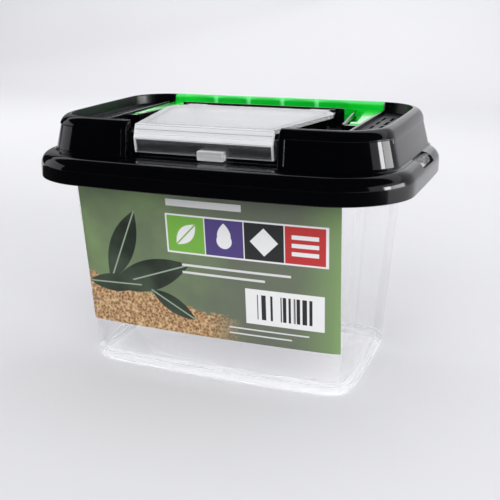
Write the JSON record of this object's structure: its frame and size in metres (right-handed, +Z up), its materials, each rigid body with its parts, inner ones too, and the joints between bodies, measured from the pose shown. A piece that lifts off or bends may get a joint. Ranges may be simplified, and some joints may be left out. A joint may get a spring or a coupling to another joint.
{
  "type": "plastic pet keeper",
  "caption": "Small clear plastic keeper for insects and small pets, with a domed press-on lid, a clear flip hatch, air slits and a folding carrying handle.",
  "frame": {"origin": "middle of the foot, on the surface the case stands on", "axes": "+X along the case to its right end, +Y to the back where the handle's grip lies, +Z up; the front with the label faces -Y"},
  "size_m": [0.18, 0.128, 0.1239],
  "materials": {
    "clear_tank": "clear, polished moulding",
    "black_lid": "glossy black moulding",
    "clear_hatch": "clear, polished moulding",
    "green_handle": "satin green moulding",
    "label_card": "printed coated paper"
  },
  "bodies": {
    "tank": {"tank": "clear_tank", "label": "label_card"},
    "lid": {"lid": "black_lid"},
    "hatch": {"hatch": "clear_hatch"},
    "handle": {"handle": "green_handle"}
  },
  "joints": [
    {"name": "lid_lift", "type": "slide", "parent": "tank", "child": "lid", "axis": [0, 0, 1], "range_m": [0, 0.04]},
    {"name": "hatch_hinge", "type": "hinge", "parent": "lid", "child": "hatch", "pos_m": [0, 0.02145, 0.11994], "axis": [-1, 0, 0], "range_deg": [0, 105]},
    {"name": "handle_hinge", "type": "hinge", "parent": "lid", "child": "handle", "pos_m": [0, 0.00004, 0.1158], "axis": [1, 0, 0], "range_deg": [0, 90]}
  ]
}
